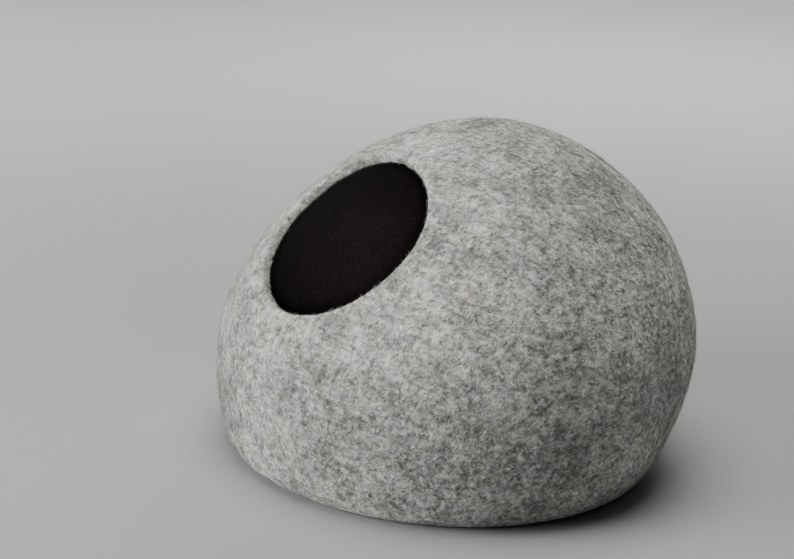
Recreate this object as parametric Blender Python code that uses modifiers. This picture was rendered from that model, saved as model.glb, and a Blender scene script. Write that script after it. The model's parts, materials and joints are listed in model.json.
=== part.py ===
"""Felt cat cave: a one-piece wet-felted wool shell, low and rounded, open through a round mouth high
on its front slope. Metres, +Z up. The mouth faces -Y, and the cave stands on its flattened bottom
at z = 0 with the middle of its bounding box over the origin."""

import math

import bmesh
import bpy
from mathutils import Vector

# Outer size of the felt, measured from its widest level
HALF_WIDTH = 0.235        # side to side, half
FRONT_DEPTH = 0.211       # widest level to the front
BACK_DEPTH = 0.2055       # widest level to the back
CROWN_RISE = 0.1975       # widest level to the top
BELLY_DROP = 0.207        # widest level to where the bottom would end if it were round
SEAT_HEIGHT = 0.106       # widest level above the surface it stands on
CROWN_FULLNESS = 1.78     # 2 is a true ellipse, less is a flatter slope
BELLY_FULLNESS = 2.1
LEAN_BACK = 0.036         # the top sits this far behind the widest level
SEAT_ROUNDING = 0.02      # height over which the side turns under to the flat bottom

WALL = 0.007              # thickness of the felt
LIP_ROUNDING = 0.0026     # radius on both corners of the mouth's edge

# Mouth, as angles seen from the middle of the cave
MOUTH_TILT = math.radians(39.3)
MOUTH_HALF_WIDTH = math.radians(23.4)
MOUTH_HALF_HEIGHT = math.radians(24.5)
MOUTH_EGG = 0.08          # the mouth is this share wider towards its upper end, like an egg
MOUTH_SKEW = 0.07         # hand-pulled out of round by this share
MOUTH_SKEW_TURN = 0.8     # where the longest diameter lies, in radians

SEGMENTS = 56             # round the mouth
RINGS = 42                # from the middle of the mouth to the far pole, before the mouth is cut
CUT_RINGS = 6             # rings that the mouth takes away

MM = 0.001

# Soft swells and hollows left by hand felting: direction round the cave (0 at the mouth, positive
# towards +X), direction above the widest level, reach, all in degrees, and rise in millimetres
SWELLS = [
    # turn, climb, reach, rise
    (-61, 58, 13, 1.2),
    (-40, 15, 16, -0.6),
    (156, 36, 16, 1.2),
    (148, 13, 14, -0.8),
    (138, -23, 14, -1.6),
    (-159, 72, 14, -1.0),
    (-103, 18, 20, -1.6),
    (-142, -4, 18, 1.5),
    (62, 30, 20, 1.1),
    (22, -12, 22, -1.2),
    (92, -18, 20, 1.3),
    (-172, 24, 22, -1.3),
]
SWELL_FADE = 0.05         # swells fade out over this height above the flat bottom

FELT_GREY = (0.40, 0.40, 0.39, 1.0)
FELT_ROUGHNESS = 0.95


def clear_scene():
    for scene_object in list(bpy.data.objects):
        bpy.data.objects.remove(scene_object, do_unlink=True)


def felt_material():
    """Plain matt wool felt."""
    material = bpy.data.materials.new("felt_grey")
    material.use_nodes = True
    shader = material.node_tree.nodes["Principled BSDF"]
    shader.inputs["Base Color"].default_value = FELT_GREY
    shader.inputs["Roughness"].default_value = FELT_ROUGHNESS
    shader.inputs["Metallic"].default_value = 0.0
    return material


def heading(turn, climb):
    """Unit vector at an angle round the cave and an angle above its widest level."""
    return Vector((
        math.sin(turn) * math.cos(climb),
        -math.cos(turn) * math.cos(climb),
        math.sin(climb),
    ))


def mouth_angle(around):
    """Angle from the mouth's axis to its edge, at an angle round the mouth from +X."""
    pulled = 1 + MOUTH_SKEW * math.cos(2 * around + MOUTH_SKEW_TURN)
    across = math.tan(MOUTH_HALF_WIDTH) * math.cos(around) * (1 + MOUTH_EGG * math.sin(around))
    along = math.tan(MOUTH_HALF_HEIGHT) * math.sin(around)
    return math.atan(pulled * math.hypot(across, along)), math.atan2(along, across)


def spread_from_mouth(unit):
    """Turn a unit-sphere point whose pole is +Z into a heading whose pole is the mouth's axis."""
    axis = heading(0.0, MOUTH_TILT)
    sideways = Vector((1.0, 0.0, 0.0))
    upslope = axis.cross(sideways)
    edge, turned = mouth_angle(math.atan2(unit.y, unit.x))
    first_ring = math.pi * CUT_RINGS / RINGS
    polar = math.acos(max(-1.0, min(1.0, unit.z)))
    share = (polar - first_ring) / (math.pi - first_ring)
    polar = edge + (math.pi - edge) * share
    rim = sideways * math.cos(turned) + upslope * math.sin(turned)
    return axis * math.cos(polar) + rim * math.sin(polar)


def swell(towards):
    """Height of the hand-felted swells in one direction."""
    rise = 0.0
    for turn, climb, reach, height in SWELLS:
        centre = heading(math.radians(turn), math.radians(climb))
        off = (1 - towards.dot(centre)) / (1 - math.cos(math.radians(reach)))
        rise += height * MM * math.exp(-off)
    return rise


def settle(height):
    """Lay the rounded belly on the surface: flat below it, turning up smoothly at its edge."""
    if height <= -SEAT_ROUNDING:
        return 0.0
    if height >= SEAT_ROUNDING:
        return height
    return (height + SEAT_ROUNDING) ** 2 / (4 * SEAT_ROUNDING)


def felt_point(towards):
    """Point of the outer face of the felt in one direction from the middle of the widest level."""
    if towards.z > 0:
        fullness, rise = CROWN_FULLNESS, CROWN_RISE
    else:
        fullness, rise = BELLY_FULLNESS, BELLY_DROP
    level = math.hypot(towards.x, towards.y)
    size = (level ** fullness + abs(towards.z) ** fullness) ** (1 / fullness)
    across, along, up = towards / size
    depth = BACK_DEPTH if along > 0 else FRONT_DEPTH
    point = Vector((HALF_WIDTH * across, depth * along + LEAN_BACK * up, 0.0))
    point.z = settle(SEAT_HEIGHT + rise * up)
    fade = max(0.0, min(1.0, point.z / SWELL_FADE))
    return point + towards * (swell(towards) * fade)


def felt_skin():
    """Outer face of the cave as an open mesh, with the mouth's edge as its one open loop."""
    skin = bmesh.new()
    bmesh.ops.create_uvsphere(skin, u_segments=SEGMENTS, v_segments=RINGS, radius=1.0)
    cut_height = math.cos(math.pi * (CUT_RINGS - 0.5) / RINGS)
    cap = [vertex for vertex in skin.verts if vertex.co.z > cut_height]
    bmesh.ops.delete(skin, geom=cap, context="VERTS")
    for vertex in skin.verts:
        vertex.co = felt_point(spread_from_mouth(vertex.co))
    front = min(vertex.co.y for vertex in skin.verts)
    back = max(vertex.co.y for vertex in skin.verts)
    left = min(vertex.co.x for vertex in skin.verts)
    right = max(vertex.co.x for vertex in skin.verts)
    middle = Vector(((left + right) / 2, (front + back) / 2, 0.0))
    bmesh.ops.translate(skin, verts=skin.verts, vec=-middle)
    bmesh.ops.recalc_face_normals(skin, faces=skin.faces)
    mesh = bpy.data.meshes.new("felt_shell")
    skin.to_mesh(mesh)
    skin.free()
    mesh.shade_smooth()
    mesh.set_sharp_from_angle(angle=math.radians(50))
    return mesh


def felt_shell(collection):
    """The whole cave: its skin thickened inwards to the felt's wall, with a rounded lip."""
    shell = bpy.data.objects.new("felt_shell", felt_skin())
    shell.data.materials.append(felt_material())
    collection.objects.link(shell)
    wall = shell.modifiers.new("felt wall", "SOLIDIFY")
    wall.thickness = WALL
    wall.offset = -1.0
    wall.use_even_offset = True
    lip = shell.modifiers.new("rounded lip", "BEVEL")
    lip.width = LIP_ROUNDING
    lip.segments = 3
    lip.limit_method = "ANGLE"
    lip.angle_limit = math.radians(60)
    return shell


def main():
    clear_scene()
    collection = bpy.data.collections.new("felt_cat_cave")
    bpy.context.scene.collection.children.link(collection)
    felt_shell(collection)


main()
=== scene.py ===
"""Looks of the felt cat cave: the wet-felted wool wall, grey outside and black inside, the wool
fibres that lie on it and stand off it, and a plain pale studio round it."""

import json
import math

import bmesh
import bpy
import numpy as np
from mathutils import Matrix, Vector, noise

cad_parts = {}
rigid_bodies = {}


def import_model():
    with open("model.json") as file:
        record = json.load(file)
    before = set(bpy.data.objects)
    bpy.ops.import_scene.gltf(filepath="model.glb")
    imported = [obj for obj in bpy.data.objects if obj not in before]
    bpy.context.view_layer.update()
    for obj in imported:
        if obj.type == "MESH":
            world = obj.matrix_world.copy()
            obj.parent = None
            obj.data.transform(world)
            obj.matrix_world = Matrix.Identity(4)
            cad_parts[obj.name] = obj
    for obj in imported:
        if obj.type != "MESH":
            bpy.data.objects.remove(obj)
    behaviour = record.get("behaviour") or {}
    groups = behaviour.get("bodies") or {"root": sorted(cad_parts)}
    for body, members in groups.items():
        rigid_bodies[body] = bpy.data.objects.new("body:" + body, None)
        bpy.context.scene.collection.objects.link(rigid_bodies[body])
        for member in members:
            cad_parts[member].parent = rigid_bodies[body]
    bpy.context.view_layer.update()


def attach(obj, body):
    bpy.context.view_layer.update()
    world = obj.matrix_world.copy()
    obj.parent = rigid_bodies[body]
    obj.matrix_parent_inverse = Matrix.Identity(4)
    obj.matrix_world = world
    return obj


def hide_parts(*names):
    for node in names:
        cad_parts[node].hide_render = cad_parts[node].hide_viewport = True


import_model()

MM = 0.001

# Shape of the felt, as in the CAD solid it stands for
HALF_WIDTH = 0.235
FRONT_DEPTH = 0.211
BACK_DEPTH = 0.2055
CROWN_RISE = 0.1975
BELLY_DROP = 0.207
SEAT_HEIGHT = 0.106
CROWN_FULLNESS = 1.78
BELLY_FULLNESS = 2.1
LEAN_BACK = 0.036
SEAT_ROUNDING = 0.02
WALL = 0.007
MOUTH_TILT = math.radians(39.3)
MOUTH_HALF_WIDTH = math.radians(23.4)
MOUTH_HALF_HEIGHT = math.radians(24.5)
MOUTH_EGG = 0.08
MOUTH_SKEW = 0.07
MOUTH_SKEW_TURN = 0.8
SWELLS = [
    # turn, climb, reach, rise: degrees, degrees, degrees, millimetres
    (-61, 58, 13, 1.2),
    (-40, 15, 16, -0.6),
    (156, 36, 16, 1.2),
    (148, 13, 14, -0.8),
    (138, -23, 14, -1.6),
    (-159, 72, 14, -1.0),
    (-103, 18, 20, -1.6),
    (-142, -4, 18, 1.5),
    (62, 30, 20, 1.1),
    (22, -12, 22, -1.2),
    (92, -18, 20, 1.3),
    (-172, 24, 22, -1.3),
]
SWELL_FADE = 0.05

# Fineness of the felt's mesh: round the mouth, and along the wall from pole to pole
SEGMENTS = 288
INNER_RINGS = 56
LIP_RINGS = 10
OUTER_RINGS = 170
SEAM_GAP = 1e-6           # points closer than this are joined where the mesh closes on itself

# The lip, thicker and rounder than the wall behind it
LIP_SQUARENESS = 3.2      # 2 is a half circle, more is a flatter cut edge
LIP_BACK = 0.8 * MM       # how far the lip is set back from the mouth's edge, for its own hairs
LIP_SWELL = 2.0 * MM      # how much thicker the felt is at its lip
LIP_SWELL_FADE = 0.016    # and over what length that fades out
LIP_WAVERS = [
    # size, reach: how the hand-cut edge wanders
    (0.06, 0.7 * MM),
    (0.012, 0.5 * MM),
]
WAVER_FADE = 20           # how fast that fades, along the wall from the lip to the far pole

# Small lumps left by felting by hand
LUMPS = [
    # size across, height
    (0.045, 0.55 * MM),
    (0.018, 0.30 * MM),
    (0.011, 0.14 * MM),
]
LUMP_FADE = 0.03          # lumps fade out over this height above the flat bottom

# Short steps across the felt, from which its directions are worked out
NORMAL_STEP = 0.002
RIM_STEP = 0.01
NOT_ZERO = 1e-9           # keeps a direction defined at the far pole
NEAR_POLE = 0.9           # a heading that rises by more than this share is taken as upright

# Camera and lights, as angles round the cave (0 at the mouth, positive towards +X)
CAMERA_TURN = math.radians(55.04)
CAMERA_CLIMB = math.radians(15.69)
CAMERA_DISTANCE = 1.73
CAMERA_CENTRE = Vector((0, 0, 0.17))
CAMERA_AIM = Vector((-0.0272, -0.045, 0.1575))
CAMERA_ROLL = math.radians(1.91)
CAMERA_LENS = 85.7
SOFT_LIGHTS = [
    # name, turn, climb, distance, size, power, colour
    ("window", math.radians(-16), math.radians(14), 2.4, 1.5, 57, (0.985, 0.992, 1.0)),
    ("skylight", 0, math.radians(88), 2.4, 2.0, 55, (1.0, 0.992, 0.968)),
    ("pale_wall", math.radians(225), math.radians(32), 2.6, 2.0, 18, (1.0, 0.992, 0.968)),
]

# A narrow lamp beside the camera, looking into the mouth
MOUTH_CENTRE = Vector((0, -0.121, 0.216))
MOUTH_LAMP_DISTANCE = 1.85
MOUTH_LAMP = (math.radians(6.8), 0.35, 0.08, 47)        # cone, blend, softness, power

# A ring of lamps that look straight down on the floor further off and leave the cave alone
FLOOR_LAMPS = 8
FIRST_FLOOR_LAMP = math.radians(25)
FLOOR_LAMP_OUT = 3.4
FLOOR_LAMP_UP = 3.4
FLOOR_LAMP_LEAN = 0.001   # a hair off plumb, so that looking down has a direction
FLOOR_LAMP = (math.radians(84), 0.6, 0.3, 370)          # cone, blend, softness, power

FLOOR_RADIUS = 4.7
FLOOR_SEGMENTS = 96
FLOOR_COLOUR = (0.44, 0.44, 0.445, 1)
FLOOR_ROUGHNESS = 0.9
BACKDROP_COLOUR = (0.93, 0.96, 1.0, 1)
BACKDROP = 0.8            # brightness of what the camera sees past the floor
FILL = 0.02               # and of the light that comes from it

# Wool
GREY_DARK = (0.134, 0.132, 0.120, 1)
GREY_WARM = (0.868, 0.845, 0.760, 1)
GREY_COOL = (0.825, 0.842, 0.820, 1)
BLACK_DARK = (0.045, 0.034, 0.035, 1)
BLACK_WARM = (0.090, 0.061, 0.063, 1)
BLACK_COOL = (0.080, 0.063, 0.065, 1)
GREYS = (GREY_DARK, GREY_COOL, GREY_WARM)
BLACKS = (BLACK_DARK, BLACK_COOL, BLACK_WARM)
FELT_ROUGHNESS = (0.98, 0.86)       # of its dark wool and of its light wool
FELT_RELIEF = 1.25 * MM
FIBRE_ROUGHNESS = (0.95, 0.75)
FIBRE_RELIEF = 0.1 * MM
GREY_FIBRE_SHEEN = 0.3
BLACK_FIBRE_SHEEN = 0.03

# Where black wool begins, in times the way round the lip from its outer edge to its inner one
BLACK_FROM = 1.22
BLACK_BLEND = 0.03        # half the width over which grey turns to black
RAGGED_CLOUDS = (420.0, 3.0, 0.6)   # scale, detail, roughness
RAGGED_REACH = 0.65       # how far the border between the two wools wanders

# Strokes of wool: how fine they are, and the ways they lie, as turns about X, Y and Z in degrees
FINE_STROKES = 760.0
FINE_TURNS = [(0, 8, 20), (15, 60, -35), (40, -18, 84), (-50, 24, 130), (75, -56, 38)]
COARSE_STROKES = 330.0
COARSE_TURNS = [(10, -12, 60), (65, 20, -20), (-30, 66, 15), (25, 10, 150)]
STROKE_STRETCH = 0.16     # a stroke's width as a share of its length
STROKE_VARIETY = 0.13     # how far the fineness of one layer differs from the next
STROKE_CURL = 0.003       # how far strokes are pushed aside

# Cloudy layers of the wool: scale, detail, roughness
CURL_CLOUDS = (70.0, 1.0, 0.5)
TUFT_CLOUDS = (150.0, 3.0, 0.65)
PATCH_CLOUDS = (48.0, 1.0, 0.5)
WIDE_CLOUDS = (17.0, 1.0, 0.5)
WARMTH_CLOUDS = (60.0, 2.0, 0.6)
WARMTH_RANGE = (0.35, 0.65)
SPECK_CLOUDS = (430.0, 1.0, 0.5)
SPECK_RANGE = (0.60, 0.76)

# How strongly each layer shows in the felt's tone
TONE_START = -2.31
FINE_TONE = 1.75
COARSE_TONE = 1.6
TUFT_TONE = 1.3
PATCH_TONE = 0.47
WIDE_TONE = 0.6
SPECK_TONE = -0.1
TONE_CURVE = 1.6          # above 1 the light wool stands out more than the dark

# How strongly each layer shows in the felt's height
FINE_RISE = 1.2
COARSE_RISE = 1.3
TUFT_RISE = 0.9
SPECK_RISE = -0.3

# Tone of a fibre: a start, a share of the felt's tone where it lies, and a share of its own
FIBRE_TONE_START = 0.07
FIBRE_FELT_TONE = 0.85
FIBRE_OWN_TONE = 1.0

# Forms of one fibre, as bends in a row
CURLS = [
    # length in millimetres and turn in degrees, of each bend
    [(3.2, 14), (3.4, -8), (3.0, -14)],
    [(3.0, -10), (3.4, -14), (2.8, 8)],
    [(3.6, 5), (3.2, -11), (3.2, -18)],
    [(2.8, 16), (3.0, 20), (2.8, 6)],
    [(3.8, -4), (3.4, 8), (3.4, 11)],
    [(2.6, -16), (3.0, 13), (2.8, 14)],
    [(3.4, 8), (3.6, 4), (3.0, -7)],
]

# How fibres rise off the felt, in millimetres: in their middle, and at their far end
WISP_LIFTS = [(0.10, 0.0), (0.14, -0.1), (0.05, 0.05)]
HAIR_LIFTS = [(0.14, 0.0), (0.2, -0.1), (0.1, 0.1)]
LOOSE_LIFTS = [(0.3, 1.0), (1.3, 0.0), (0.5, 2.2), (0.9, 0.4), (0.4, 3.2), (1.7, 1.2)]

WISP_KINDS = [
    # name, fibres in each, bends in each fibre, radius and distance apart in millimetres, lifts
    ("wisp", 3, 3, 0.15, 0.42, WISP_LIFTS),
    ("hair", 1, 3, 0.10, 0.0, HAIR_LIFTS),
    ("loose_hair", 1, 2, 0.08, 0.0, LOOSE_LIFTS),
]
FORMS_OF_A_KIND = 6
WISP_STAGGER = 2.3        # fibres of a wisp are shifted lengthways by this many times their distance apart

# Fibres are scattered over the felt in layers
FIBRE_LAYERS = [
    # name, kind, inside, number to a square metre, wander, lowest and highest lift, extra at the rim
    ("grey_wisps_1", "wisp", False, 10500, 0.9, (-0.12 * MM, 0.02 * MM), 0.0),
    ("grey_wisps_2", "wisp", False, 10500, 1.6, (-0.12 * MM, 0.02 * MM), 0.0),
    ("grey_hairs", "hair", False, 26000, 1.6, (-0.10 * MM, 0.04 * MM), 0.0),
    ("grey_fuzz", "loose_hair", False, 62000, 1.6, (-0.30 * MM, 0.0), 2.0),
    ("black_hairs", "hair", True, 30000, 1.5, (-0.12 * MM, 0.04 * MM), 2.0),
    ("black_fuzz", "loose_hair", True, 22000, 1.6, (-0.30 * MM, 0.0), 9.0),
]
DRAWS_OF_A_LAYER = 20     # seeds kept for the random draws of each layer
FIBRE_LENGTHS = (0.6, 1.15)
BLACK_FIBRES_FROM = BLACK_FROM - 0.06
GREY_FIBRES_TO = BLACK_FROM - 0.02
BLACK_THINS_OVER = 0.16   # black fibres thin out over this length from the mouth
BLACK_THINS_TO = 0.06     # to this share
SEAT_BARE = 0.006         # below this height lie no grey fibres
SEAT_COVERED = 0.016      # and above this one they lie as densely as elsewhere
RIM_CROWD = (0.001, 0.008)          # the extra at the rim ends between these lengths from the mouth
SWIRLS_FROM = 0.05        # within this length of the mouth fibres run more and more along its rim
SWIRL_SCALE = 22.0
SWIRL_TURN = 5.0
LOWEST_FIBRE = (-9.0, -9.0, 0.2 * MM)       # no bound sideways, and never through the floor


# ---------------------------------------------------------------- the shape of the felt

def unit(rows):
    """Each row as an arrow of length one."""
    return rows / np.linalg.norm(rows, axis=-1, keepdims=True)


def heading(turn, climb):
    """Unit vector at an angle round the cave and an angle above its widest level."""
    return np.array([
        math.sin(turn) * math.cos(climb),
        -math.cos(turn) * math.cos(climb),
        math.sin(climb),
    ])


def mouth_angle(around):
    """Angle from the mouth's axis to its edge, and round the axis, at each angle round from +X."""
    pulled = 1 + MOUTH_SKEW * np.cos(2 * around + MOUTH_SKEW_TURN)
    across = math.tan(MOUTH_HALF_WIDTH) * np.cos(around) * (1 + MOUTH_EGG * np.sin(around))
    along = math.tan(MOUTH_HALF_HEIGHT) * np.sin(around)
    return np.arctan(pulled * np.hypot(across, along)), np.arctan2(along, across)


def headings(polar, turned):
    """Headings at an angle from the mouth's axis and an angle round it."""
    axis = heading(0.0, MOUTH_TILT)
    sideways = np.array([1.0, 0.0, 0.0])
    upslope = np.cross(axis, sideways)
    rim = np.cos(turned)[:, None] * sideways + np.sin(turned)[:, None] * upslope
    return np.cos(polar)[:, None] * axis + np.sin(polar)[:, None] * rim


def swell(towards):
    """Height of the hand-felted swells in each direction."""
    rise = np.zeros(len(towards))
    for turn, climb, reach, height in SWELLS:
        centre = heading(math.radians(turn), math.radians(climb))
        off = (1 - towards @ centre) / (1 - math.cos(math.radians(reach)))
        rise += height * MM * np.exp(-off)
    return rise


def settle(height):
    """Lay the rounded belly on the surface: flat below it, turning up smoothly at its edge."""
    turning = (np.clip(height, -SEAT_ROUNDING, None) + SEAT_ROUNDING) ** 2 / (4 * SEAT_ROUNDING)
    return np.where(height >= SEAT_ROUNDING, height, turning)


def felt_points(towards):
    """Outer face of the felt in each direction from the middle of its widest level."""
    level = np.hypot(towards[:, 0], towards[:, 1])
    crown = towards[:, 2] > 0
    fullness = np.where(crown, CROWN_FULLNESS, BELLY_FULLNESS)
    size = (level ** fullness + np.abs(towards[:, 2]) ** fullness) ** (1 / fullness)
    across, along, up = (towards / size[:, None]).T
    depth = np.where(along > 0, BACK_DEPTH, FRONT_DEPTH)
    height = settle(SEAT_HEIGHT + np.where(crown, CROWN_RISE, BELLY_DROP) * up)
    points = np.stack([HALF_WIDTH * across, depth * along + LEAN_BACK * up, height], axis=1)
    fade = np.clip(height / SWELL_FADE, 0, 1)
    return points + towards * (swell(towards) * fade)[:, None]


def felt_normals(towards):
    """Outward normals of the outer face, each from two short steps across it."""
    helper = np.where(np.abs(towards[:, 2:]) < NEAR_POLE, [[0.0, 0.0, 1.0]], [[1.0, 0.0, 0.0]])
    first = unit(np.cross(helper, towards))
    second = np.cross(towards, first)
    here = felt_points(towards)
    one_way = felt_points(unit(towards + NORMAL_STEP * first)) - here
    other_way = felt_points(unit(towards + NORMAL_STEP * second)) - here
    return unit(np.cross(one_way, other_way))


def bumps(points, size, rise):
    """Height of random bumps of one size at each point."""
    return np.array([rise * noise.noise(Vector(point) / size) for point in points])


# ---------------------------------------------------------------- meshes

def add_object(name, mesh, collection=None):
    """Put a mesh, camera or lamp in the scene, or in a collection that is kept out of it."""
    made = bpy.data.objects.new(name, mesh)
    (collection or bpy.context.scene.collection).objects.link(made)
    return made


def get_points(mesh):
    """Places of a mesh's points, one a row."""
    flat = np.empty(len(mesh.vertices) * 3, np.float32)
    mesh.vertices.foreach_get("co", flat)
    return flat.reshape(-1, 3).astype(float)


def set_attribute(mesh, name, values):
    """Store a number or an arrow for each point of a mesh."""
    kind, field = ("FLOAT", "value") if values.ndim == 1 else ("FLOAT_VECTOR", "vector")
    attribute = mesh.attributes.new(name, kind, "POINT")
    attribute.data.foreach_set(field, values.astype(np.float32).ravel())


def squared(swing):
    """Sine or cosine of the way round the lip, changed so that the lip is flatter in its middle."""
    return np.sign(swing) * np.abs(swing) ** (2 / LIP_SQUARENESS)


def felt_wall(material):
    """The one-piece felt wall: a grid rolled up round the mouth and closed at both poles. Its first
    rings are laid along the inside of the wall, the next round the mouth's lip, and the rest along
    the outside."""
    rings = INNER_RINGS + LIP_RINGS + OUTER_RINGS
    grid = bmesh.new()
    bmesh.ops.create_grid(grid, x_segments=SEGMENTS, y_segments=rings, size=1.0)
    mesh = bpy.data.meshes.new("felt_wall")
    grid.to_mesh(mesh)
    grid.free()
    flat = get_points(mesh)
    around = math.pi * flat[:, 0]
    ring = np.round((flat[:, 1] + 1) / 2 * rings)

    edge, turned = mouth_angle(around)
    edge = edge + (0.5 * WALL + LIP_BACK) / FRONT_DEPTH
    inward = np.clip(1 - ring / INNER_RINGS, 0, 1)
    outward = np.clip((ring - INNER_RINGS - LIP_RINGS) / OUTER_RINGS, 0, 1)
    away = np.maximum(inward, outward)
    polar = edge + (math.pi - edge) * away
    outer = felt_points(headings(polar, turned))
    normals = felt_normals(headings(polar, turned))
    to_mouth = unit(felt_points(headings(polar - RIM_STEP, turned)) - outer)
    along_rim = unit(felt_points(headings(polar, turned + RIM_STEP)) - outer + NOT_ZERO)

    # Across the wall at the lip: 0 at its outer face, pi at its inner face
    beta = math.pi * np.clip(1 - (ring - INNER_RINGS) / LIP_RINGS, 0, 1)
    waver = sum(bumps(outer, size, reach) for size, reach in LIP_WAVERS)
    from_mouth = (polar - edge) * FRONT_DEPTH
    thickness = WALL + LIP_SWELL * np.exp(-(from_mouth / LIP_SWELL_FADE) ** 2)
    through = 0.5 * thickness * (squared(np.cos(beta)) - 1)
    past = 0.5 * WALL * squared(np.sin(beta)) + waver * np.exp(-WAVER_FADE * away)
    points = outer + normals * through[:, None] + to_mouth * past[:, None]
    fade = np.clip(points[:, 2] / LUMP_FADE, 0, 1)
    lumps = sum(bumps(points, size, rise) for size, rise in LUMPS)
    points += normals * (lumps * fade)[:, None]

    # Its middle goes over the origin, and nothing below the floor
    points -= (points.min(0) + points.max(0)) / 2 * [1, 1, 0]
    points[:, 2] = np.clip(points[:, 2], 0, None)
    mesh.vertices.foreach_set("co", points.astype(np.float32).ravel())
    set_attribute(mesh, "from_mouth", from_mouth)

    # Depth is 0 at the lip's outer edge, 1 at its inner edge, and grows at the same rate further in
    further_in = np.where(inward > 0, from_mouth / (math.pi * WALL / 2), 0)
    set_attribute(mesh, "depth", beta / math.pi + further_in)
    set_attribute(mesh, "along_rim", along_rim)

    wall = bmesh.new()
    wall.from_mesh(mesh)
    bmesh.ops.remove_doubles(wall, verts=wall.verts, dist=SEAM_GAP)
    bmesh.ops.recalc_face_normals(wall, faces=wall.faces)
    wall.to_mesh(mesh)
    wall.free()
    mesh.shade_smooth()
    mesh.materials.append(material)
    return add_object("felt_wall", mesh)


def add_fibre(strand, bends, radius):
    """Add one wool fibre along +X: three-sided, drawn to a point at both ends, and spun through its
    bends, each a length in millimetres and a turn in degrees."""
    start = bmesh.ops.create_circle(strand, cap_ends=True, segments=3, radius=radius)["verts"]
    bmesh.ops.rotate(strand, verts=start, cent=(0, 0, 0), matrix=Matrix.Rotation(math.pi / 2, 3, "Y"))
    tip = list(start[0].link_faces)
    found = set(start)
    direction = Vector((1, 0, 0))
    middle = Vector((0, 0, 0))
    for number, (length, degrees) in enumerate(bends):
        turn = math.radians(degrees)
        to_pivot = Vector((0, 0, 1)).cross(direction) * (length * MM / turn)
        spun = bmesh.ops.spin(
            strand, geom=tip, cent=middle + to_pivot, axis=(0, 0, 1), angle=turn, steps=1,
            use_duplicate=False,
        )
        if number:
            bmesh.ops.delete(strand, geom=tip, context="FACES_ONLY")
        turning = Matrix.Rotation(turn, 3, "Z")
        middle = middle + to_pivot - turning @ to_pivot
        direction = turning @ direction
        tip = [part for part in spun["geom_last"] if isinstance(part, bmesh.types.BMFace)]
        found.update(tip[0].verts)
    for end in (start, list(tip[0].verts)):
        found.difference_update(end)
        centre = sum((vertex.co for vertex in end), Vector()) / len(end)
        bmesh.ops.pointmerge(strand, verts=end, merge_co=centre)
    points = [
        vertex for vertex in strand.verts
        if any(edge.other_vert(vertex) in found for edge in vertex.link_edges)
    ]
    return list(found.union(points))


def wisp(name, curls, radius, apart, rise, collection):
    """A wisp of wool: fibres side by side, a little apart and not quite parallel, rising by so many
    millimetres in their middle and at their far end."""
    strand = bmesh.new()
    for number, bends in enumerate(curls):
        verts = add_fibre(strand, bends, radius * MM)
        reach = [vertex.co.x for vertex in verts]
        aside = (number - (len(curls) - 1) / 2) * apart * MM
        lengthways = aside * WISP_STAGGER - (min(reach) + max(reach)) / 2
        shift = Vector((lengthways, aside, (number % 2) * radius * MM))
        bmesh.ops.translate(strand, verts=verts, vec=shift)
    half = max(abs(vertex.co.x) for vertex in strand.verts)
    for vertex in strand.verts:
        share = 0.5 + 0.5 * vertex.co.x / half
        vertex.co.z += rise[0] * MM * math.sin(math.pi * share) + rise[1] * MM * share * share
    bmesh.ops.triangulate(strand, faces=strand.faces)
    bmesh.ops.recalc_face_normals(strand, faces=strand.faces)
    mesh = bpy.data.meshes.new(name)
    strand.to_mesh(mesh)
    strand.free()
    mesh.shade_smooth()
    set_attribute(mesh, "lift", get_points(mesh)[:, 2])
    return add_object(name, mesh, collection)


# ---------------------------------------------------------------- nodes

def put(tree, kind, inputs=None, **settings):
    """Add a node with its settings, each input fed by a value, a socket or another node."""
    node = tree.nodes.new(kind)
    for key, value in settings.items():
        setattr(node, key, value)
    for key, value in (inputs or {}).items():
        if isinstance(value, bpy.types.Node):
            value = next(socket for socket in value.outputs if socket.enabled)
        if isinstance(value, bpy.types.NodeSocket):
            tree.links.new(value, node.inputs[key])
        else:
            node.inputs[key].default_value = value
    return node


def sums(tree, operation, *values):
    """Arithmetic on numbers."""
    return put(tree, "ShaderNodeMath", dict(enumerate(values)), operation=operation)


def arrows(tree, operation, *values, **inputs):
    """Arithmetic on vectors."""
    return put(tree, "ShaderNodeVectorMath", {**dict(enumerate(values)), **inputs}, operation=operation)


def spread(tree, value, low, high, new_low=0.0, new_high=1.0, smooth=False):
    """Stretch a value from one range to another, held at its ends."""
    inputs = {"Value": value, "From Min": low, "From Max": high, "To Min": new_low, "To Max": new_high}
    kind = "SMOOTHSTEP" if smooth else "LINEAR"
    return put(tree, "ShaderNodeMapRange", inputs, interpolation_type=kind)


def blend_colours(tree, share, first, second):
    """Mix of two colours, all of the first at a share of 0."""
    mixed = put(tree, "ShaderNodeMix", {0: share, 6: first, 7: second}, data_type="RGBA")
    return mixed.outputs[2]


def read_attribute(tree, name):
    """Value that the mesh carries under a name."""
    return put(tree, "ShaderNodeAttribute", attribute_name=name).outputs["Fac"]


def node_group(name, kind, inputs, outputs):
    """New node group with its named sockets; gives it with its input and output nodes."""
    group = bpy.data.node_groups.new(name, kind)
    for direction, sockets in (("INPUT", inputs), ("OUTPUT", outputs)):
        for label, (socket_type, *default) in sockets.items():
            socket = group.interface.new_socket(label, in_out=direction, socket_type=socket_type)
            if default:
                socket.default_value = default[0]
    return group, group.nodes.new("NodeGroupInput").outputs, group.nodes.new("NodeGroupOutput").inputs


def call(tree, group, inputs):
    """Add a shared node group to a material or to another group."""
    return put(tree, "ShaderNodeGroup", inputs, node_tree=group)


def clouds(tree, place, scale, detail, roughness):
    """Cloudy noise at a place."""
    return put(tree, "ShaderNodeTexNoise", {
        "Vector": place, "Scale": scale, "Detail": detail, "Roughness": roughness,
    })


def weighted(tree, start, *parts):
    """A start value plus each part times its weight."""
    for value, weight in parts:
        start = sums(tree, "MULTIPLY_ADD", value, weight, start)
    return start


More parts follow.
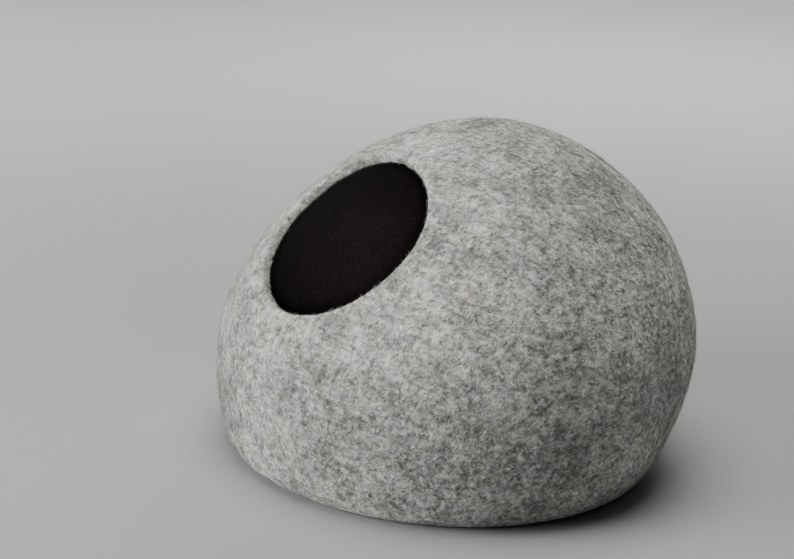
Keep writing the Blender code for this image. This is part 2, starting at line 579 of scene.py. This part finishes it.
def principled(name):
    """New material with nodes; gives it with its node tree and its shader."""
    material = bpy.data.materials.new(name)
    material.use_nodes = True
    return material, material.node_tree, material.node_tree.nodes["Principled BSDF"]


# ---------------------------------------------------------------- wool materials

def strokes_group():
    """Strokes of wool all lying one way: noise stretched along one direction."""
    group, given, result = node_group("wool_strokes", "ShaderNodeTree", {
        "Place": ("NodeSocketVector",),
        "Turn": ("NodeSocketVector",),
        "Fineness": ("NodeSocketFloat", FINE_STROKES),
        "Stretch": ("NodeSocketFloat", STROKE_STRETCH),
    }, {"Strokes": ("NodeSocketFloat",)})
    turned = put(group, "ShaderNodeVectorRotate", {
        "Vector": given["Place"], "Rotation": given["Turn"],
    }, rotation_type="EULER_XYZ")
    thin = put(group, "ShaderNodeCombineXYZ", {"X": given["Stretch"], "Y": 1.0, "Z": 1.0})
    wool = clouds(group, arrows(group, "MULTIPLY", turned, thin), given["Fineness"], 1.0, 0.5)
    group.links.new(wool.outputs[0], result["Strokes"])
    return group


def strokes_every_way(tree, strokes, place, turns, fineness):
    """Several layers of strokes, each lying its own way, averaged."""
    layers = [
        call(tree, strokes, {
            "Place": place.outputs[0],
            "Turn": tuple(math.radians(angle) for angle in turn),
            "Fineness": fineness * (1 + STROKE_VARIETY * (number % 3 - 1)),
        })
        for number, turn in enumerate(turns)
    ]
    total = layers[0]
    for layer in layers[1:]:
        total = sums(tree, "ADD", total, layer)
    return sums(tree, "MULTIPLY", total, 1 / len(layers))


def matted_wool_group(strokes):
    """Wool matted in every direction: tone and height of its surface, and how warm its colour is."""
    group, given, result = node_group("matted_wool", "ShaderNodeTree", {
        "Place": ("NodeSocketVector",),
    }, {
        "Tone": ("NodeSocketFloat",),
        "Height": ("NodeSocketFloat",),
        "Warmth": ("NodeSocketFloat",),
    })
    curl = clouds(group, given["Place"], *CURL_CLOUDS).outputs["Color"]
    curl = arrows(group, "SUBTRACT", curl, (0.5, 0.5, 0.5))
    place = arrows(group, "ADD", given["Place"], arrows(group, "SCALE", curl, Scale=STROKE_CURL))
    fine = strokes_every_way(group, strokes, place, FINE_TURNS, FINE_STROKES)
    coarse = strokes_every_way(group, strokes, place, COARSE_TURNS, COARSE_STROKES)
    tufts = clouds(group, place, *TUFT_CLOUDS)
    patches = clouds(group, given["Place"], *PATCH_CLOUDS)
    wide = clouds(group, given["Place"], *WIDE_CLOUDS)
    specks = spread(group, clouds(group, place, *SPECK_CLOUDS), *SPECK_RANGE, smooth=True)
    warmth = spread(group, clouds(group, given["Place"], *WARMTH_CLOUDS), *WARMTH_RANGE)
    tone = weighted(
        group, TONE_START, (fine, FINE_TONE), (coarse, COARSE_TONE), (tufts, TUFT_TONE),
        (patches, PATCH_TONE), (wide, WIDE_TONE), (specks, SPECK_TONE),
    )
    tone = sums(group, "POWER", spread(group, tone, 0.0, 1.0), TONE_CURVE)
    height = weighted(
        group, 0.0, (fine, FINE_RISE), (coarse, COARSE_RISE), (tufts, TUFT_RISE),
        (specks, SPECK_RISE),
    )
    group.links.new(tone.outputs[0], result["Tone"])
    group.links.new(height.outputs[0], result["Height"])
    group.links.new(warmth.outputs[0], result["Warmth"])
    return group


def wool_colour(tree, wool, tone, colours):
    """Colour of wool from its dark shade to its light one, which is warm in places and cool in others."""
    dark, cool, warm = colours
    light = blend_colours(tree, wool.outputs["Warmth"], cool, warm)
    return blend_colours(tree, tone, dark, light)


def roughen(tree, shader, tone, low, high, roughness):
    """Light wool lies smoother than dark wool."""
    rough = spread(tree, tone, low, high, *roughness)
    tree.links.new(rough.outputs[0], shader.inputs["Roughness"])


def emboss(tree, shader, wool, strength, relief):
    """Relief of the matted wool."""
    bump = put(tree, "ShaderNodeBump", {
        "Height": wool.outputs["Height"], "Strength": strength, "Distance": relief,
    })
    tree.links.new(bump.outputs[0], shader.inputs["Normal"])


def felt_material(matted):
    """Felt of two wools: grey outside and over the lip, black from the lip's inner edge inwards."""
    material, tree, shader = principled("two_wool_felt")
    place = put(tree, "ShaderNodeTexCoord").outputs["Object"]
    wool = call(tree, matted, {"Place": place})
    grey = wool_colour(tree, wool, wool.outputs["Tone"], GREYS)
    black = wool_colour(tree, wool, wool.outputs["Tone"], BLACKS)
    ragged = sums(tree, "SUBTRACT", clouds(tree, place, *RAGGED_CLOUDS), 0.5)
    inside = weighted(tree, read_attribute(tree, "depth"), (ragged, RAGGED_REACH))
    inside = spread(tree, inside, BLACK_FROM - BLACK_BLEND, BLACK_FROM + BLACK_BLEND)
    colour = blend_colours(tree, inside, grey, black)
    tree.links.new(colour, shader.inputs["Base Color"])
    roughen(tree, shader, wool.outputs["Tone"], 0.2, 0.8, FELT_ROUGHNESS)
    emboss(tree, shader, wool, 1.0, FELT_RELIEF)
    shader.inputs["Specular IOR Level"].default_value = 0.2
    shader.inputs["Sheen Weight"].default_value = 0.08
    shader.inputs["Sheen Roughness"].default_value = 0.5
    return material


def fibre_material(name, matted, colours, sheen):
    """Wool fibres lying on the felt: its tone where they lie, and a share of their own."""
    material, tree, shader = principled(name)
    wool = call(tree, matted, {"Place": put(tree, "ShaderNodeTexCoord").outputs["Object"]})
    own = sums(tree, "SUBTRACT", read_attribute(tree, "tone"), 0.5)
    tone = weighted(
        tree, FIBRE_TONE_START, (wool.outputs["Tone"], FIBRE_FELT_TONE), (own, FIBRE_OWN_TONE),
    )
    tree.links.new(wool_colour(tree, wool, tone, colours), shader.inputs["Base Color"])
    roughen(tree, shader, tone, 0.0, 1.0, FIBRE_ROUGHNESS)
    emboss(tree, shader, wool, 0.5, FIBRE_RELIEF)
    shader.inputs["Specular IOR Level"].default_value = 0.3
    shader.inputs["Sheen Weight"].default_value = sheen
    return material


def floor_material():
    """Plain pale matt floor."""
    material, tree, shader = principled("studio_floor")
    shader.inputs["Base Color"].default_value = FLOOR_COLOUR
    shader.inputs["Roughness"].default_value = FLOOR_ROUGHNESS
    return material


# ---------------------------------------------------------------- fibres on the felt

def lay_fibres(name, wall, shapes, material, density, inside, seed, wander, lift, at_rim):
    """Scatter fibres over one face of the wall, as a plain mesh of its own. They lie against the
    felt and follow it, run along the mouth's rim near it and wander more further off."""
    tree, given, result = node_group(name, "GeometryNodeTree", {
        "Geometry": ("NodeSocketGeometry",),
    }, {"Geometry": ("NodeSocketGeometry",)})

    def named(label, kind="FLOAT"):
        return put(tree, "GeometryNodeInputNamedAttribute", {"Name": label}, data_type=kind)

    def random(low, high, number):
        return put(tree, "FunctionNodeRandomValue", {
            2: low, 3: high, "Seed": seed * DRAWS_OF_A_LAYER + number,
        })

    if inside:
        place = sums(tree, "GREATER_THAN", named("depth"), BLACK_FIBRES_FROM)
        thinned = spread(tree, named("from_mouth"), 0.0, BLACK_THINS_OVER, 1.0, BLACK_THINS_TO)
    else:
        place = sums(tree, "LESS_THAN", named("depth"), GREY_FIBRES_TO)
        height = put(tree, "ShaderNodeSeparateXYZ", {0: put(tree, "GeometryNodeInputPosition")})
        thinned = spread(tree, height.outputs["Z"], SEAT_BARE, SEAT_COVERED)
    crowded = spread(tree, named("from_mouth"), *RIM_CROWD, 1.0 + at_rim, 1.0)
    amount = sums(tree, "MULTIPLY", sums(tree, "MULTIPLY", place, thinned), crowded)
    amount = sums(tree, "MULTIPLY", amount, density)
    points = put(tree, "GeometryNodeDistributePointsOnFaces", {
        "Mesh": given["Geometry"], "Density": amount, "Seed": seed,
    })
    free = spread(tree, named("from_mouth"), 0.0, SWIRLS_FROM)
    swirl = clouds(tree, put(tree, "GeometryNodeInputPosition"), SWIRL_SCALE, 1.0, 0.5)
    swirl = sums(tree, "MULTIPLY", sums(tree, "SUBTRACT", swirl, 0.5), SWIRL_TURN)
    angle = sums(tree, "ADD", sums(tree, "MULTIPLY", swirl, free), random(-wander, wander, 1))
    direction = put(tree, "ShaderNodeVectorRotate", {
        "Vector": named("along_rim", "FLOAT_VECTOR"),
        "Axis": points.outputs["Normal"],
        "Angle": angle,
    }, rotation_type="AXIS_ANGLE")
    turned = put(tree, "FunctionNodeAxesToRotation", {
        "Primary Axis": points.outputs["Normal"], "Secondary Axis": direction,
    }, primary_axis="Z", secondary_axis="X")
    collection = put(tree, "GeometryNodeCollectionInfo", {
        "Collection": shapes, "Separate Children": True, "Reset Children": True,
    })
    length = random(*FIBRE_LENGTHS, 2)
    laid = put(tree, "GeometryNodeInstanceOnPoints", {
        "Points": points.outputs["Points"],
        "Instance": collection.outputs[0],
        "Pick Instance": True,
        "Rotation": turned,
        "Scale": put(tree, "ShaderNodeCombineXYZ", {"X": length, "Y": 1.0, "Z": 1.0}),
    })
    for label, low, high, number in (("tone", 0.0, 1.0, 3), ("sink", *lift, 4)):
        laid = put(tree, "GeometryNodeStoreNamedAttribute", {
            "Geometry": laid, "Name": label, "Value": random(low, high, number),
        }, data_type="FLOAT", domain="INSTANCE")
    real = put(tree, "GeometryNodeRealizeInstances", {"Geometry": laid})
    nearest = put(tree, "GeometryNodeProximity", {0: given["Geometry"]}, target_element="FACES")
    upright = put(tree, "GeometryNodeSampleNearestSurface", {
        "Mesh": given["Geometry"], "Value": put(tree, "GeometryNodeInputNormal"),
    }, data_type="FLOAT_VECTOR")
    rise = sums(tree, "ADD", named("lift"), named("sink"))
    settled = arrows(tree, "MULTIPLY_ADD", upright, rise, nearest.outputs["Position"])
    settled = arrows(tree, "MAXIMUM", settled, LOWEST_FIBRE)
    real = put(tree, "GeometryNodeSetPosition", {"Geometry": real, "Position": settled})
    real = put(tree, "GeometryNodeSetMaterial", {"Geometry": real, "Material": material})
    tree.links.new(real.outputs[0], result["Geometry"])

    maker = add_object(name + "_maker", wall.data)
    maker.modifiers.new("fibres", "NODES").node_group = tree
    bpy.context.view_layer.update()
    mesh = bpy.data.meshes.new_from_object(maker.evaluated_get(bpy.context.evaluated_depsgraph_get()))
    bpy.data.objects.remove(maker)
    mesh.name = name
    spent = [
        stored.name for stored in mesh.attributes
        if not stored.is_required and stored.name[0] != "." and stored.name != "tone"
    ]
    for label in spent:
        mesh.attributes.remove(mesh.attributes[label])
    mesh.materials.clear()
    mesh.materials.append(material)
    return add_object(name, mesh)


def wisp_shapes(name, fibres, bends, radius, apart, lifts):
    """A few differently curled wisps to scatter, with so many fibres and so many bends in each.
    The fibres of one wisp take every second curl in the list."""
    shapes = bpy.data.collections.new(name)
    for number in range(FORMS_OF_A_KIND):
        curls = [CURLS[(number + 2 * fibre) % len(CURLS)][:bends] for fibre in range(fibres)]
        wisp(f"{name}_{number}", curls, radius, apart, lifts[number % len(lifts)], shapes)
    return shapes


# ---------------------------------------------------------------- studio

def look(obj, aim, roll=0.0):
    """Turn a camera or lamp so that it looks at a point."""
    back = (obj.location - aim).normalized()
    across = Vector((0, 0, 1)).cross(back).normalized()
    up = back.cross(across)
    turn = Matrix((across, up, back)).transposed()
    obj.rotation_euler = (turn @ Matrix.Rotation(roll, 3, "Z")).to_euler()


def around_cave(turn, climb, distance):
    """Place at a distance from the cave, in one direction."""
    return CAMERA_CENTRE + Vector(heading(turn, climb)) * distance


def place_lamp(name, lamp, where, aim):
    """Put a lamp in the scene, out of the camera's sight."""
    source = add_object(name, lamp)
    source.location = where
    source.visible_camera = False
    look(source, aim)


def spot_lamp(name, settings, where, aim):
    """Lamp with a cone of light: its cone, blend, softness and power."""
    lamp = bpy.data.lights.new(name, "SPOT")
    lamp.spot_size, lamp.spot_blend, lamp.shadow_soft_size, lamp.energy = settings
    place_lamp(name, lamp, where, aim)


def add_camera():
    camera = bpy.data.cameras.new("camera")
    camera.lens = CAMERA_LENS
    eye = add_object("camera", camera)
    eye.location = around_cave(CAMERA_TURN, CAMERA_CLIMB, CAMERA_DISTANCE)
    look(eye, CAMERA_AIM, CAMERA_ROLL)
    bpy.context.scene.camera = eye


def add_lamps():
    for name, turn, climb, distance, size, power, colour in SOFT_LIGHTS:
        lamp = bpy.data.lights.new(name, "AREA")
        lamp.shape = "DISK"
        lamp.size = size
        lamp.energy = power
        lamp.color = colour
        place_lamp(name, lamp, around_cave(turn, climb, distance), CAMERA_CENTRE)

    beside_camera = around_cave(CAMERA_TURN, CAMERA_CLIMB, MOUTH_LAMP_DISTANCE)
    spot_lamp("mouth_lamp", MOUTH_LAMP, beside_camera, MOUTH_CENTRE)

    for number in range(FLOOR_LAMPS):
        turn = FIRST_FLOOR_LAMP + 2 * math.pi * number / FLOOR_LAMPS
        under = Vector(heading(turn, 0.0)) * FLOOR_LAMP_OUT
        above = under + Vector((0, FLOOR_LAMP_LEAN, FLOOR_LAMP_UP))
        spot_lamp("floor_lamp", FLOOR_LAMP, above, under)


def add_backdrop():
    """Plain surroundings: bright to the camera, and nearly dark to everything else."""
    world = bpy.data.worlds.new("studio")
    world.use_nodes = True
    background = world.node_tree.nodes["Background"]
    background.inputs["Color"].default_value = BACKDROP_COLOUR
    seen = put(world.node_tree, "ShaderNodeLightPath").outputs["Is Camera Ray"]
    strength = spread(world.node_tree, seen, 0.0, 1.0, FILL, BACKDROP)
    world.node_tree.links.new(strength.outputs[0], background.inputs["Strength"])
    bpy.context.scene.world = world


def add_floor():
    floor_mesh = bmesh.new()
    bmesh.ops.create_circle(
        floor_mesh, cap_ends=True, segments=FLOOR_SEGMENTS, radius=FLOOR_RADIUS,
    )
    mesh = bpy.data.meshes.new("studio_floor")
    floor_mesh.to_mesh(mesh)
    floor_mesh.free()
    mesh.materials.append(floor_material())
    add_object("studio_floor", mesh)


# ---------------------------------------------------------------- the cave

strokes = strokes_group()
matted = matted_wool_group(strokes)
wall = felt_wall(felt_material(matted))
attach(wall, "root")
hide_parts("felt_shell")

grey_wool = fibre_material("grey_wool_fibre", matted, GREYS, GREY_FIBRE_SHEEN)
black_wool = fibre_material("black_wool_fibre", matted, BLACKS, BLACK_FIBRE_SHEEN)
shapes = {kind[0]: wisp_shapes(*kind) for kind in WISP_KINDS}
fibres = []
for seed, layer in enumerate(FIBRE_LAYERS, start=1):
    name, kind, inside, density, wander, lift, at_rim = layer
    wool = black_wool if inside else grey_wool
    laid = lay_fibres(name, wall, shapes[kind], wool, density, inside, seed, wander, lift, at_rim)
    fibres.append(laid)
for layer in fibres:
    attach(layer, "root")
    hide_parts("felt_shell")
for collection in shapes.values():
    for shape in list(collection.objects):
        bpy.data.objects.remove(shape)
    bpy.data.collections.remove(collection)

add_camera()
add_lamps()
add_backdrop()
add_floor()
